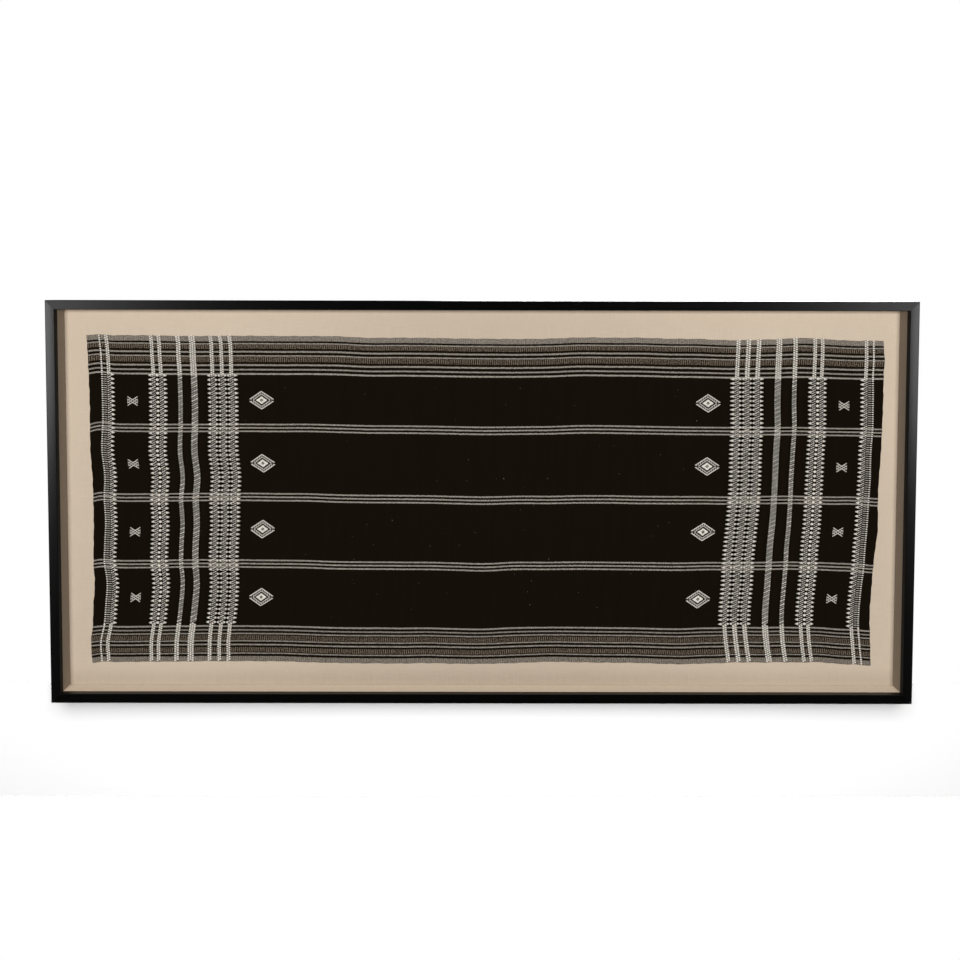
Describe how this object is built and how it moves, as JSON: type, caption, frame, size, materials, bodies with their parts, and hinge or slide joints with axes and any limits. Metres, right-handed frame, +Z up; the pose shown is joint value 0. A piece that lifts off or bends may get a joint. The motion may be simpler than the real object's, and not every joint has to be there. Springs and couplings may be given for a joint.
{
  "type": "handwoven shawl in a shadow-box frame",
  "caption": "Long dark handwoven shawl with pale woven bands and small motifs, stitched flat on linen inside a deep black wooden frame that hangs on a wall.",
  "frame": {"origin": "the middle of the top rail's rear face, on the wall plane", "axes": "+X along the shawl's length to the right, +Y into the wall, +Z up, so the shawl faces -Y"},
  "size_m": [2.3, 0.068, 1.076],
  "materials": {
    "black_paint": "satin black paint",
    "linen_cloth": "natural linen, matt",
    "board": "plain ply, unfinished",
    "dark_wool": "handwoven wool, dark brown-black ground with natural white bands"
  },
  "bodies": {
    "root": {"rail_top": "black_paint", "rail_right": "black_paint", "rail_bottom": "black_paint", "rail_left": "black_paint", "spacer_top": "linen_cloth", "spacer_right": "linen_cloth", "spacer_bottom": "linen_cloth", "spacer_left": "linen_cloth", "linen_ground": "linen_cloth", "mount_board": "board", "shawl": "dark_wool"}
  },
  "joints": []
}
